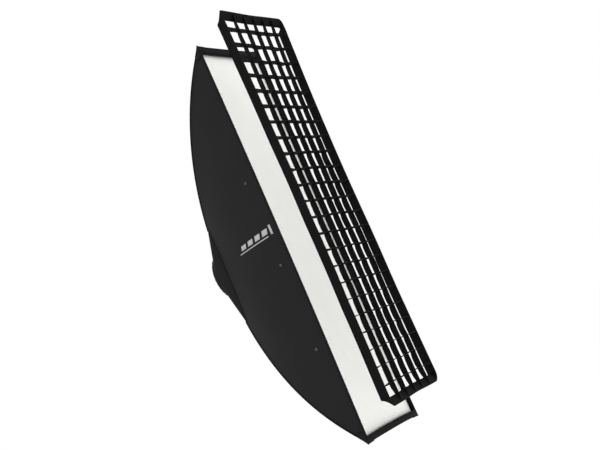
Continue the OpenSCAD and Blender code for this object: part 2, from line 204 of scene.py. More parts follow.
rod_span = Vector((half_w - rod_socket, half_l - rod_socket))
chord = Vector((rod_span.length, rim_y - rod_mount_y))
arc_radius = (chord.length ** 2 / 4 + rod_bow ** 2) / (2 * rod_bow)
arc_side = Vector((-chord.y, chord.x)) / chord.length
arc_centre = Vector((0, rod_mount_y)) + chord / 2 - (arc_radius - rod_bow) * arc_side


def shell_at(y):
    """Half the shell's width and length at that depth."""
    run = arc_centre.x + math.sqrt(arc_radius ** 2 - (y - arc_centre.y) ** 2)
    share = run / rod_span.length
    return rod_socket + rod_span.x * share, rod_socket + rod_span.y * share


def loose_cloth(at):
    """The cloth stands off the rods towards the back, and its weight draws it down there."""
    back = max(0.0, min(1.0, (at.y - rim_y) / (shell_back_y - rim_y)))
    swell = back * back * (3 - 2 * back)
    at.y += 0.004 * math.sin(math.pi * min(1.0, back))
    at.z -= 0.009 * swell * (1 - 0.5 * math.exp(-abs(at.z) / 0.05))
    return at


def slope_at(y, span):
    """The outward normal of a panel's outline at that depth, as (sideways, back)."""
    angle = math.asin((y - arc_centre.y) / arc_radius)
    k = span / rod_span.length
    return Vector((math.cos(angle), k * math.sin(angle))).normalized()


def draw_in(y, g, waist):
    """How far a panel is drawn in at depth y, from 0 on a seam (g is -1 or 1) to the middle."""
    ripe = 0.35 + 0.65 * (y - shell_back_y) / (rim_y - shell_back_y)
    return waist * ripe * (1 - g * g)


def tension_folds(along, across, seed, depth):
    """Soft creases that fan out from the seams and die away over the panel's middle."""
    near_seam = math.exp(-5.0 * (1 - abs(across)))
    streak = noise.noise(Vector((along * 9.0, across * 1.2 + seed, seed)))
    broad = noise.noise(Vector((along * 2.2, across * 1.6, seed + 7.3)))
    return depth * (0.9 * near_seam * streak + 0.55 * broad)


def side_point(side, y, g, off=0.0):
    """A point of a long side panel: g runs from the bottom seam to the top one."""
    x, z = shell_at(y)
    n = slope_at(y, rod_span.x)
    inset = draw_in(y, g, side_waist) - off
    return loose_cloth(Vector((side * (x - inset * n.x), y - inset * n.y, g * z)))


def end_point(end, y, g, off=0.0):
    """A point of a short end panel: g runs from the left seam to the right one."""
    x, z = shell_at(y)
    n = slope_at(y, rod_span.y)
    inset = draw_in(y, g, end_waist) - off
    return loose_cloth(Vector((g * x, y - inset * n.y, end * (z - inset * n.x))))


def finish_piece(bm, name, material, outward=None):
    """Turns a bmesh into a piece at the origin. outward is where its faces look."""
    mesh = bpy.data.meshes.new(name)
    bm.normal_update()
    if outward is not None:
        facing = sum((f.normal.dot(outward) * f.calc_area() for f in bm.faces), 0.0)
        if facing < 0:
            bmesh.ops.reverse_faces(bm, faces=bm.faces)
    bm.to_mesh(mesh)
    bm.free()
    mesh.shade_smooth()
    mesh.materials.append(material)
    made = bpy.data.objects.new(name, mesh)
    bpy.context.collection.objects.link(made)
    return made


def laid_cloth(name, across, along, place, size, material, outward):
    """A cut of cloth over place(s, t), s and t from 0 to 1, with its UV map in metres."""
    bm = bmesh.new()
    bmesh.ops.create_grid(bm, x_segments=across, y_segments=along, size=0.5)
    uv = bm.loops.layers.uv.new("cloth")
    for face in bm.faces:
        for corner in face.loops:
            co = corner.vert.co
            corner[uv].uv = ((co.x + 0.5) * size[0], (co.y + 0.5) * size[1])
    for v in bm.verts:
        v.co = place(v.co.x + 0.5, v.co.y + 0.5)
    return finish_piece(bm, name, material, outward)


def thicken(piece, thickness):
    solid = piece.modifiers.new("cloth_thickness", "SOLIDIFY")
    solid.thickness = thickness
    solid.offset = -1.0
    return piece


arc_front = math.asin((rim_y - arc_centre.y) / arc_radius)
arc_back = math.asin((shell_back_y - arc_centre.y) / arc_radius)
panel_run = arc_radius * (arc_back - arc_front)


def depth_along(t):
    """Depth at an even share t of the way along a rod, from the back to the rim."""
    return arc_centre.y + arc_radius * math.sin(arc_back + (arc_front - arc_back) * t)


def panel_area(points):
    """Area of the sheet through a grid of points."""
    p = np.array(points)
    a, b = p[1:, :-1] - p[:-1, :-1], p[:-1, 1:] - p[:-1, :-1]
    return float(np.linalg.norm(np.cross(a, b), axis=2).sum())


cloth_thickness = 0.0008


def shell_panel(name, point, which, seed, flat, across, outward):
    def place(s, t):
        y, g = depth_along(t), 2 * s - 1
        fold = tension_folds(t, g, seed, 0.0011) * min(1, 4 * (1 - abs(g)) + 0.1) * min(1, 6 * (1 - t))
        return point(which, y, g, fold)

    made = laid_cloth(name, across, 60, place, flat, shell_black, outward)
    thicken(made, cloth_thickness)
    area = panel_area([[place(i / 20, j / 20) for i in range(21)] for j in range(21)])
    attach(made, "box")
    return made


for which, seed, node in ((-1, 1.0, "side_panel_left"), (1, 4.0, "side_panel_right")):
    flat = (2 * half_l, 0.30)
    made = shell_panel(node.replace("panel", "cloth"), side_point, which, seed, flat, 150,
                       Vector((which, 0, 0)))
    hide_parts(node)
for which, seed, node in ((1, 8.0, "end_panel_top"), (-1, 11.0, "end_panel_bottom")):
    flat = (2 * half_w, panel_run * 1.02)
    made = shell_panel(node.replace("panel", "cloth"), end_point, which, seed, flat, 40,
                       Vector((0, 0.5, which)))
    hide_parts(node)

# ---- Silver lining ----
# The inside of the shell is faced with cloth that carries a crinkled silver coating.
silver = cloth_material("silver_cloth", (0.50, 0.51, 0.53), (0.68, 0.69, 0.71), 0.42, 1200, 0.0002,
                        metallic=0.75)
lining_under = 0.0024
lining_front_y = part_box("silver_lining")[0].y


def lining_part(point, which, across, outward):
    front = math.asin((lining_front_y - arc_centre.y) / arc_radius)

    def place(s, t):
        y = arc_centre.y + arc_radius * math.sin(arc_back + (front - arc_back) * t)
        g = (2 * s - 1) * 0.985
        wrinkle = 0.0008 * noise.noise(Vector((t * 14, g * 16, which * 3.7)))
        return point(which, y, g, -lining_under + wrinkle * (1 - abs(g)))

    return laid_cloth("lining_part", across, 40, place, (1.0, 0.4), silver, outward)


def joined(name, pieces):
    """Several pieces of one kind made into one object."""
    bm = bmesh.new()
    for piece in pieces:
        bm.from_mesh(piece.data)
    made = finish_piece(bm, name, pieces[0].data.materials[0])
    for piece in pieces:
        bpy.data.objects.remove(piece)
    return made


parts = [lining_part(side_point, w, 90, Vector((-w, 0, 0))) for w in (-1, 1)]
parts += [lining_part(end_point, w, 30, Vector((0, -0.5, -w))) for w in (-1, 1)]
lining = joined("silver_lining_cloth", parts)
thicken(lining, 0.0004)
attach(lining, "box")
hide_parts("silver_lining")

# ---- Front hem ----
# The rim is a folded band of the shell cloth, wider on the short ends than on the long
# sides. The rod tips push its corners out into small points.
rim_tape_w = 0.006
hem_side_w = half_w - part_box("rim_hook_tape")[1].x + rim_tape_w
hem_end_w = half_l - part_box("rim_hook_tape")[1].z + rim_tape_w
hem_half_t = 0.0017
corner_point = 0.0018
binding_black = cloth_material("binding", (0.0022, 0.0022, 0.0024), (0.0054, 0.0054, 0.0057), 0.70, 900,
                               0.0003, 0.015)
long_share, short_share = 0.4, 0.1


def round_the_rim(p):
    """(side, g) for a share p of the way round: side 0 right, 1 top, 2 left, 3 bottom."""
    p = p % 1.0
    if p < long_share:
        return 0, 2 * p / long_share - 1
    if p < long_share + short_share:
        return 1, 1 - 2 * (p - long_share) / short_share
    if p < 2 * long_share + short_share:
        return 2, 1 - 2 * (p - long_share - short_share) / long_share
    return 3, 2 * (p - 2 * long_share - short_share) / short_share - 1


def frame_point(p, w, l, waist_w, waist_l, flare=0.0):
    """A point (x, z) on a w by l frame drawn in at its middles and flared at its corners."""
    side, g = round_the_rim(p)
    span = l if side in (0, 2) else w
    out = flare * math.exp(-(1 - abs(g)) * span / 0.022)
    corner = math.copysign(1, g)
    if side == 0:
        return Vector((w - waist_w * (1 - g * g) + out, g * l + out * corner))
    if side == 2:
        return Vector((-w + waist_w * (1 - g * g) - out, g * l + out * corner))
    turn = 1 if side == 1 else -1
    return Vector((g * w + out * corner, turn * (l - waist_l * (1 - g * g) + out)))


def closed_band(name, stations, around, place, material):
    """A band closed both ways: place(p, t) gives its points, p along it and t around it."""
    bm = bmesh.new()
    bmesh.ops.create_grid(bm, x_segments=stations, y_segments=around, size=0.5)
    uv = bm.loops.layers.uv.new("cloth")
    for face in bm.faces:
        for corner in face.loops:
            co = corner.vert.co
            corner[uv].uv = ((co.x + 0.5) * 3.0, (co.y + 0.5) * 0.06)
    for v in bm.verts:
        v.co = place(v.co.x + 0.5, v.co.y + 0.5)
    bmesh.ops.remove_doubles(bm, verts=bm.verts, dist=1e-5)
    bmesh.ops.recalc_face_normals(bm, faces=bm.faces)
    return finish_piece(bm, name, material)


def flat_section(t, power=0.45):
    """(share across, share deep) of a flat band's rounded section; t runs once round it."""
    c, s = math.cos(2 * math.pi * t), math.sin(2 * math.pi * t)
    return (0.5 - 0.5 * math.copysign(abs(c) ** power, c), math.copysign(abs(s) ** power, s))


def hem_place(p, t):
    across, deep = flat_section(t)
    outer = frame_point(p, half_w + 0.0006, half_l + 0.0006, side_waist, end_waist, corner_point)
    inner = frame_point(p, half_w - hem_side_w, half_l - hem_end_w, side_waist, end_waist)
    flat = outer.lerp(inner, across)
    pucker = 0.0005 * noise.noise(Vector((flat.x * 60, flat.y * 60, 2.0)))
    return Vector((flat.x, rim_y + hem_half_t - hem_half_t * deep + pucker, flat.y))


hem = closed_band("rim_hem", 240, 18, hem_place, binding_black)
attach(hem, "box")
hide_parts("front_hem")

# ---- Rim binding ----
# The same band is turned round the outside of the rim, in a narrow strip close behind the edge.
binding_w = 0.007


def binding_strip(point, which, across, outward):
    def place(s, t):
        y = rim_y + 0.0006 + binding_w * t
        lift = 0.0012 - 0.0005 * (2 * t - 1) ** 8
        return point(which, y, (2 * s - 1) * 0.999, lift)

    return laid_cloth("binding_strip", across, 5, place, (1.2, binding_w), binding_black, outward)


strips = [binding_strip(side_point, w, 120, Vector((w, 0, 0))) for w in (-1, 1)]
strips += [binding_strip(end_point, w, 30, Vector((0, 0.5, w))) for w in (-1, 1)]
rim_binding = thicken(joined("rim_binding", strips), 0.0011)
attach(rim_binding, "box")

# ---- Corner patches ----
# Each corner of the rim has a doubled patch, where the cap of a rod pushes from inside.
patch_run = 0.024
patch_half = 0.030


def corner_patch(sx, sz):
    bm = bmesh.new()
    bmesh.ops.create_grid(bm, x_segments=12, y_segments=10, size=0.5)
    uv = bm.loops.layers.uv.new("cloth")
    for face in bm.faces:
        for corner in face.loops:
            corner[uv].uv = (corner.vert.co.x * 0.07, corner.vert.co.y * 0.05)
    for v in bm.verts:
        s, t = 2 * v.co.x, v.co.y + 0.5
        y = rim_y + 0.001 + patch_run * t
        x, z = shell_at(y)
        taper = 1 - 0.55 * t
        push = 0.0022 + corner_point * math.exp(-4 * t) * math.exp(-abs(s) * 2.5)
        if s < 0:
            v.co = Vector((sx * (x + push), y, sz * (z + s * patch_half * taper + push * (1 + s))))
        else:
            v.co = Vector((sx * (x - s * patch_half * taper + push * (1 - s)), y, sz * (z + push)))
    return finish_piece(bm, "corner_patch", binding_black, Vector((sx, 0.3, sz)))


patches = [corner_patch(sx, sz) for sx in (-1, 1) for sz in (-1, 1)]
corner_patches = thicken(joined("corner_patches", patches), 0.0011)
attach(corner_patches, "box")

# ---- Inner hook tape ----
# A band of hook tape is sewn round the inside of the rim, in front of the diffuser, and
# takes the diffuser's border.
tape_black = cloth_material("hook_tape", (0.0020, 0.0020, 0.0020), (0.0045, 0.0045, 0.0045), 0.85, 650,
                            0.0006, 0.02)
recess_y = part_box("front_diffuser")[0].y
tape_under = 0.0018
tape_front_y = rim_y + 0.004
tape_back_y = recess_y + 0.001


def tape_strip(point, which, across, outward, front, back):
    def place(s, t):
        return point(which, front + (back - front) * t, (2 * s - 1) * 0.99, -tape_under)

    return laid_cloth("tape_strip", across, 4, place, (1.2, back - front), tape_black, outward)


strips = [tape_strip(side_point, w, 100, Vector((-w, 0, 0)), tape_front_y, tape_back_y) for w in (-1, 1)]
strips += [tape_strip(end_point, w, 24, Vector((0, -0.5, -w)), tape_front_y, tape_back_y) for w in (-1, 1)]
inner_tape = thicken(joined("inner_hook_band", strips), 0.0012)
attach(inner_tape, "box")
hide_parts("inner_hook_tape", "diffuser_border")

# ---- Front diffuser ----
# A sheet of white translucent nylon behind the rim, held by its edge all round. It is
# nearly flat, with slack ripples at its lower end.
diffuser_white = cloth_material("diffuser_cloth", (0.90, 0.90, 0.87), (0.95, 0.95, 0.925), 0.6, 1800,
                                0.00008, 0.05)
edge_x, edge_z = shell_at(recess_y)
edge_x, edge_z = edge_x - 0.0032, edge_z - 0.0045


def diffuser_place(s, t):
    a, g = 2 * s - 1, 2 * t - 1
    x = a * (edge_x - draw_in(recess_y, g, side_waist))
    z = g * (edge_z - draw_in(recess_y, a, end_waist))
    free = (1 - a * a) * (1 - g ** 8)
    slack = 0.35 + 0.65 * max(0.0, -g) ** 2
    ripple = 0.0022 * slack * noise.noise(Vector((x * 14 + z * 5, z * 7, 5.0)))
    belly = 0.004 * (1 - a * a) * (1 - g * g)
    crease = 0.0009 * noise.noise(Vector((x * 40 + z * 22, z * 9 - x * 12, 9.0)))
    return Vector((x, recess_y - belly + free * (ripple + crease * slack), z))


diffuser = laid_cloth("diffuser_sheet", 60, 200, diffuser_place, (2 * edge_x, 2 * edge_z), diffuser_white,
                      Vector((0, -1, 0)))
thicken(diffuser, 0.0004)
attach(diffuser, "box")
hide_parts("front_diffuser")

# ---- Inner diffuser ----
# A second, smaller sheet hangs inside on short elastic tabs.
inner_low, inner_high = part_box("inner_diffuser")


def inner_place(s, t):
    x = inner_low.x + (inner_high.x - inner_low.x) * s
    z = inner_low.z + (inner_high.z - inner_low.z) * t
    sag = 0.004 * noise.noise(Vector((x * 6, z * 3, 21.0)))
    return Vector((x, inner_low.y + sag * math.sin(math.pi * s), z))


inner_sheet = laid_cloth("inner_diffuser_sheet", 24, 90, inner_place,
                         (inner_high.x - inner_low.x, inner_high.z - inner_low.z), diffuser_white,
                         Vector((0, -1, 0)))
thicken(inner_sheet, 0.0005)
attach(inner_sheet, "box")
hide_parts("inner_diffuser")

# ---- Printed mark ----
# A plain light grey print on the left panel: an upright bar with four leaning blocks
# beside it, over one thin line. It is the same print as the ink on such cloth, thin and matt.
ink = cloth_material("printed_ink", (0.30, 0.30, 0.31), (0.42, 0.42, 0.43), 0.55, 1500, 0.0001)
mark_z = 0.036
mark_front_y = rim_y + 0.022
mark_back_y = rim_y + 0.172


def print_bar(bm, y0, y1, z0, z1, lean=0.0):
    """One printed bar in (depth, height) on the flat; it is laid on the panel afterwards."""
    made = bmesh.ops.create_grid(bm, x_segments=6, y_segments=2, size=0.5)["verts"]
    for v in made:
        t = v.co.y + 0.5
        v.co = Vector((y0 + (y1 - y0) * (v.co.x + 0.5) - lean * t, z0 + (z1 - z0) * t, 0))


mark_bm = bmesh.new()
print_bar(mark_bm, mark_front_y, mark_front_y + 0.008, mark_z - 0.012, mark_z + 0.016)
for ray in range(4):
    start = mark_front_y + 0.020 + 0.032 * ray
    print_bar(mark_bm, start, start + 0.022, mark_z - 0.005, mark_z + 0.011 - 0.001 * ray, 0.005)
print_bar(mark_bm, mark_front_y + 0.020, mark_back_y, mark_z - 0.014, mark_z - 0.011)
uv = mark_bm.loops.layers.uv.new("cloth")
for face in mark_bm.faces:
    for corner in face.loops:
        corner[uv].uv = (corner.vert.co.x, corner.vert.co.y)
for v in mark_bm.verts:
    y, z = v.co.x, v.co.y
    v.co = side_point(-1, y, z / shell_at(y)[1], 0.0003)
mark = thicken(finish_piece(mark_bm, "printed_mark", ink, Vector((-1, 0, 0))), 0.00015)
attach(mark, "box")

# ---- Press studs ----
# Three domed steel caps on each side fasten the inner diffuser's tabs; each socket sits
# under its cap inside the shell, riveted through the cloth.
def worn_metal(name, dark, light, roughness, marks, metallic=1.0, scale=240.0, coat=0.0):
    """Hard stuff with a fine grain, rubbed lighter and smoother in patches."""
    made = bpy.data.materials.new(name)
    made.use_nodes = True
    tree = made.node_tree
    shader = tree.nodes["Principled BSDF"]
    shader.inputs["Metallic"].default_value = metallic
    shader.inputs["Coat Weight"].default_value = coat
    where = tree.nodes.new("ShaderNodeTexCoord")
    patch = tree.nodes.new("ShaderNodeTexNoise")
    patch.inputs["Scale"].default_value = scale / 8
    patch.inputs["Detail"].default_value = 5.0
    grain = tree.nodes.new("ShaderNodeTexNoise")
    grain.inputs["Scale"].default_value = scale * 6
    grain.inputs["Detail"].default_value = 2.0
    for each in (patch, grain):
        tree.links.new(where.outputs["Object"], each.inputs["Vector"])
    tint = tree.nodes.new("ShaderNodeMix")
    tint.data_type = "RGBA"
    tint.inputs["A"].default_value = (*dark, 1)
    tint.inputs["B"].default_value = (*light, 1)
    tree.links.new(patch.outputs["Fac"], tint.inputs["Factor"])
    tree.links.new(tint.outputs["Result"], shader.inputs["Base Color"])
    rough = math_node(tree, "ADD", math_node(tree, "MULTIPLY", patch.outputs["Fac"], -0.2), roughness + 0.1)
    tree.links.new(rough, shader.inputs["Roughness"])
    relief = tree.nodes.new("ShaderNodeBump")
    relief.inputs["Distance"].default_value = 0.0001
    relief.inputs["Strength"].default_value = marks
    tree.links.new(grain.outputs["Fac"], relief.inputs["Height"])
    tree.links.new(relief.outputs["Normal"], shader.inputs["Normal"])
    return made


stud_steel = worn_metal("stud_metal", (0.035, 0.035, 0.037), (0.085, 0.085, 0.09), 0.36, 0.5)
stud_low, stud_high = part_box("press_stud_caps")
stud_mid_z = (stud_low.z + stud_high.z) / 2
stud_pitch = 0.252
stud_depth_y = rim_y + 0.042
cap_r = 0.0054


def spun(bm, outline, at, toward, steps=28):
    """Spins (radius, height) points about an axis at a point, height running toward a direction."""
    verts = [bm.verts.new((r, 0, h)) for r, h in outline]
    edges = [bm.edges.new(pair) for pair in zip(verts, verts[1:])]
    made = bmesh.ops.spin(bm, geom=verts + edges, axis=(0, 0, 1), cent=(0, 0, 0), angle=2 * math.pi,
                          steps=steps, use_merge=True)
    found = set(verts)
    todo = list(verts)
    while todo:
        for edge in todo.pop().link_edges:
            for v in edge.verts:
                if v not in found:
                    found.add(v)
                    todo.append(v)
    turn = Vector(toward).to_track_quat("Z", "Y").to_matrix().to_4x4()
    bmesh.ops.transform(bm, matrix=Matrix.Translation(at) @ turn, verts=list(found))
    bmesh.ops.remove_doubles(bm, verts=list(found), dist=1e-7)


def stud_place(side, z, off):
    point = side_point(side, stud_depth_y, z / shell_at(stud_depth_y)[1], off)
    n = slope_at(stud_depth_y, rod_span.x)
    return point, Vector((side * n.x, n.y, 0))


caps = bmesh.new()
sockets = bmesh.new()
dome = [(1e-6, 0.0021), (0.0022, 0.00205), (0.0040, 0.0017), (0.0048, 0.0011), (cap_r, 0.0004),
        (cap_r, -0.0001), (0.0050, -0.0003), (1e-6, -0.0003)]
cup = [(1e-6, 0.0010), (0.0018, 0.0010), (0.0022, 0.0018), (0.0034, 0.0020), (0.0048, 0.0012), (0.0051, 0),
       (1e-6, 0)]
for side in (-1, 1):
    for row in (-1, 0, 1):
        z = stud_mid_z + row * stud_pitch
        at, out = stud_place(side, z, 0.0006)
        spun(caps, dome, at, out)
        at, out = stud_place(side, z, -0.0034)
        spun(sockets, cup, at, -out)
bmesh.ops.recalc_face_normals(caps, faces=caps.faces)
bmesh.ops.recalc_face_normals(sockets, faces=sockets.faces)
for name, bm, node in (("press_stud_domes", caps, "press_stud_caps"),
                       ("press_stud_cups", sockets, "press_stud_sockets")):
    made = finish_piece(bm, name, stud_steel)
    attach(made, "box")
    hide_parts(node)

# ---- Elastic tabs ----
# A short length of black elastic webbing runs from each press stud to the edge of the
# inner diffuser and is sewn there.
elastic = cloth_material("elastic", (0.012, 0.012, 0.012), (0.03, 0.03, 0.03), 0.8, 1100, 0.0004)
tab_w = 0.020
tab_t = 0.0011
tab_reach = inner_high.x
tab_end = 0.006


def tab_strip(side, z):
    def place(s, t):
        root = side_point(side, stud_depth_y, z / shell_at(stud_depth_y)[1], -0.0058)
        foot = Vector((side * (tab_reach - tab_end), inner_low.y + 0.0012, z))
        lean = slope_at(stud_depth_y, rod_span.x)
        along = Vector((side * -lean.y, lean.x, 0))
        start = root - along * tab_end
        bend = root + along * tab_end
        if t < 0.3:
            at = start.lerp(bend, t / 0.3)
        else:
            u = (t - 0.3) / 0.7
            at = bend.lerp(foot, u) + Vector((0, 0.0025, 0)) * math.sin(math.pi * u)
        return at + Vector((0, 0, (s - 0.5) * tab_w))

    return laid_cloth("tab_strip", 6, 22, place, (tab_w, 0.04), elastic, Vector((0, -1, 0)))


strips = [tab_strip(side, stud_mid_z + row * stud_pitch) for side in (-1, 1) for row in (-1, 0, 1)]
elastic_tabs = joined("elastic_tabs", strips)
thicken(elastic_tabs, tab_t)
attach(elastic_tabs, "box")
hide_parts("baffle_tabs")

# ---- Seam bindings ----
# The panels' edges meet over the rods and are bound with a narrow folded tape.
seam_r = 0.0018
seam_black = cloth_material("seam_tape", (0.0040, 0.0040, 0.0040), (0.0080, 0.0080, 0.0080), 0.7, 900, 0.0003)
seams = []
for sx in (-1, 1):
    for sz in (-1, 1):
        def seam_place(s, t, sx=sx, sz=sz):
            y = depth_along(0.004 + 0.965 * s)
            x, z = shell_at(y)
            turn = 2 * math.pi * t
            out = Vector((sx, 0, sz)).normalized()
            wide = Vector((-sx, 0, sz)).normalized()
            pucker = 1 + 0.12 * noise.noise(Vector((s * 60, sx, sz)))
            lift = out * (0.0003 + math.sin(turn) * seam_r * 0.75 * pucker)
            spread = wide * math.cos(turn) * seam_r * 1.7
            return loose_cloth(Vector((sx * x, y, sz * z))) + (lift + spread)

        bm = bmesh.new()
        bmesh.ops.create_grid(bm, x_segments=90, y_segments=10, size=0.5)
        uv = bm.loops.layers.uv.new("cloth")
        for face in bm.faces:
            for corner in face.loops:
                corner[uv].uv = (corner.vert.co.x * 0.6, corner.vert.co.y * 0.01)
        for v in bm.verts:
            v.co = seam_place(v.co.x + 0.5, v.co.y + 0.5)
        bmesh.ops.remove_doubles(bm, verts=bm.verts, dist=1e-6)
        bmesh.ops.holes_fill(bm, edges=[e for e in bm.edges if e.is_boundary])
        bmesh.ops.recalc_face_normals(bm, faces=bm.faces)
        seams.append(finish_piece(bm, "seam", seam_black))
seam_tapes = joined("seam_tapes", seams)
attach(seam_tapes, "box")
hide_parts("seam_bindings")

# ---- Rear collar ----
# A short sleeve of the same cloth closes the shell over the speedring. It is sewn to the
# back edges of the panels, and its round end has an elastic hem that gathers it. The lock
# screw comes out through a small opening in it.
collar_start_y = shell_back_y - 0.010
collar_end_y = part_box("rear_collar")[1].y
ring_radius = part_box("speedring_plate")[1].x
collar_cloth = 0.0010
collar_end_r = ring_radius + 0.0024
collar_hem = 0.009
eyelet_r = 0.0055
collar_x, collar_z = shell_at(collar_start_y)


def collar_place(s, t):
    """s runs round the sleeve and t from the shell to the ring."""
    turn = 2 * math.pi * s
    c, d = math.cos(turn), math.sin(turn)
    gx = math.copysign(abs(c) ** 0.16, c)
    gz = math.copysign(abs(d) ** 0.16, d)
    half_x = collar_x + 0.0012 - draw_in(collar_start_y, gz, side_waist)
    half_z = collar_z + 0.0012 - draw_in(collar_start_y, gx, end_waist)
    start = loose_cloth(Vector((gx * half_x, collar_start_y, gz * half_z)))
    cone = min(1.0, t / 0.80)
    hem = max(0.0, t - 0.80) / 0.20
    finish = Vector((c * collar_end_r, collar_end_y - collar_hem, d * collar_end_r))
    at = start.lerp(finish, cone) + Vector((0, collar_hem * hem, 0))
    away = Vector((at.x, 0, at.z)).normalized()
    ripple = math.sin(turn * 34 + 2 * noise.noise(Vector((c * 2, d * 2, t))))
    gather = 0.0008 * max(0.0, t - 0.5) * (ripple + 1)
    loose = 0.0016 * math.sin(math.pi * cone) * (1 + noise.noise(Vector((c * 3, d * 3, t * 2))))
    hem_roll = 0.0012 * math.exp(-((t - 0.90) / 0.05) ** 2)
    return at + away * (gather + loose + hem_roll)


bm = bmesh.new()
bmesh.ops.create_grid(bm, x_segments=288, y_segments=26, size=0.5)
uv = bm.loops.layers.uv.new("cloth")
for face in bm.faces:
    for corner in face.loops:
        corner[uv].uv = (corner.vert.co.x * 1.07, corner.vert.co.y * 0.06)
for v in bm.verts:
    v.co = collar_place(v.co.x + 0.5, v.co.y + 0.5)
bmesh.ops.remove_doubles(bm, verts=bm.verts, dist=1e-6)
screw_low, screw_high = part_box("lock_screw")
screw_at = (screw_low + screw_high) / 2
eyelet = [face for face in bm.faces if face.calc_center_median().x > 0
          and (face.calc_center_median() - screw_at).yz.length < eyelet_r]
bmesh.ops.delete(bm, geom=eyelet, context="FACES")
bmesh.ops.recalc_face_normals(bm, faces=bm.faces)
collar = finish_piece(bm, "collar_sleeve", shell_black)
thicken(collar, collar_cloth)
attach(collar, "box")
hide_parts("rear_collar")

# ---- Rim hook tape ----
# A narrow hook tape runs round the front of the rim, where the grid's loop tape takes
# hold of it.
rim_tape_t = 0.0008


def rim_tape_place(p, t):
    across, deep = flat_section(t, 0.3)
    inner = frame_point(p, half_w - hem_side_w + 0.0006, half_l - hem_end_w + 0.001, side_waist, end_waist)
    outer = frame_point(p, half_w - hem_side_w + rim_tape_w, half_l - hem_end_w + rim_tape_w + 0.002,
                        side_waist, end_waist)
    flat = outer.lerp(inner, across)
    return Vector((flat.x, rim_y - rim_tape_t / 2 * (1 + deep) * 0.9 + 0.0001, flat.y))


rim_tape = closed_band("rim_hook_band", 200, 12, rim_tape_place, tape_black)
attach(rim_tape, "box")
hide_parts("rim_hook_tape")

# ---- Rod pockets ----
# Inside each corner a sewn pocket of doubled cloth takes the cap of a rod.
pocket_cloth = cloth_material("pocket_cloth", (0.008, 0.008, 0.009), (0.018, 0.018, 0.019), 0.75, 900,
                              0.0003, place="Object")
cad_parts["corner_pockets"].data.materials.clear()
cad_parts["corner_pockets"].data.materials.append(pocket_cloth)

# ---- Rods and their caps ----
# Four bars of sprung steel wire, bowed between the speedring and the rim's corners. Each
# front end has a moulded plastic cap.
rod_steel = worn_metal("rod_steel", (0.30, 0.30, 0.31), (0.52, 0.52, 0.53), 0.28, 0.25)
cap_plastic = worn_metal("rod_cap_plastic", (0.012, 0.012, 0.012), (0.03, 0.03, 0.03), 0.5, 0.3, metallic=0.0)
for name in ("rod_top_left", "rod_top_right", "rod_bottom_left", "rod_bottom_right"):
    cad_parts[name].data.materials.clear()
    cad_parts[name].data.materials.append(rod_steel)
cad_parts["rod_tips"].data.materials.clear()
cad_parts["rod_tips"].data.materials.append(cap_plastic)

# ---- Speedring ----
# A cast ring with black powder coat; four drilled steel blocks on its front take the
# rods, and each is held by one pan head screw.
ring_paint = worn_metal("ring_paint", (0.010, 0.010, 0.011), (0.030, 0.030, 0.032), 0.45, 0.8,
                        metallic=0.0, scale=420.0, coat=0.15)
block_paint = worn_metal("block_paint", (0.05, 0.05, 0.052), (0.12, 0.12, 0.125), 0.42, 0.5, metallic=0.8)
screw_steel = worn_metal("screw_steel", (0.45, 0.45, 0.46), (0.62, 0.62, 0.63), 0.25, 0.3)
for name, finish in (("speedring_plate", ring_paint), ("rod_sockets", block_paint),
                     ("socket_screws", screw_steel)):
    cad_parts[name].data.materials.clear()
    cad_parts[name].data.materials.append(finish)

# ---- Bayonet insert ----
# A turned aluminium insert with three lugs turns in the speedring; a flat keeper ring
# and three screws hold it from inside the box.
insert_metal = worn_metal("insert_metal", (0.56, 0.57, 0.58), (0.72, 0.73, 0.74), 0.30, 0.3, scale=300.0)
for name, finish in (("insert_ring", insert_metal), ("retaining_ring", insert_metal),
                     ("retaining_screws", screw_steel)):
    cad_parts[name].data.materials.clear()
    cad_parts[name].data.materials.append(finish)

# ---- Lock screw ----
# A plastic knob moulded onto a screw clamps the insert against turning.
knob_plastic = worn_metal("knob_plastic", (0.012, 0.012, 0.012), (0.028, 0.028, 0.028), 0.42, 0.5,
                          metallic=0.0)
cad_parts["lock_screw"].data.materials.clear()
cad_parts["lock_screw"].data.materials.append(knob_plastic)

# ---- Grid cloth ----
# The loose grid is made of black bands of stiffened cloth set on edge. Without its box to
# stretch it, it hangs a little out of true: its long sides draw in and it waves slightly.
grid_low, grid_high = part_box("grid_hem")
grid_mid = (grid_low + grid_high) / 2
grid_half = (grid_high - grid_low) / 2
grid_black = cloth_material("grid_cloth", (0.0006, 0.0006, 0.0007), (0.0016, 0.0016, 0.0018), 0.8, 1100,
                            0.0003, 0.008)
grid_waist = 0.0065


def grid_warp(at):
    """Where a point of the true grid goes on the loose one."""
    gx = (at.x - grid_mid.x) / grid_half.x
    gz = (at.z - grid_mid.z) / grid_half.z
    drift = Vector((
        0.0020 * noise.noise(Vector((at.z * 5, at.x * 6, 31.0))),
        -0.0022 * abs(noise.noise(Vector((at.z * 4, at.x * 5, 37.0)))),
        0.0016 * noise.noise(Vector((at.x * 9, at.z * 6, 41.0))),
    ))
    drift.x -= grid_waist * gx * (1 - gz * gz)
    drift.x += 0.0105 * (gx + 1) * max(0.0, (gz - 0.24) / 0.76) ** 1.5
    drift.z -= 0.0015 * gz * (1 - gx * gx) + 0.0035 * (1 - gx) * max(0.0, (-gz - 0.85) / 0.15)
    return at + drift


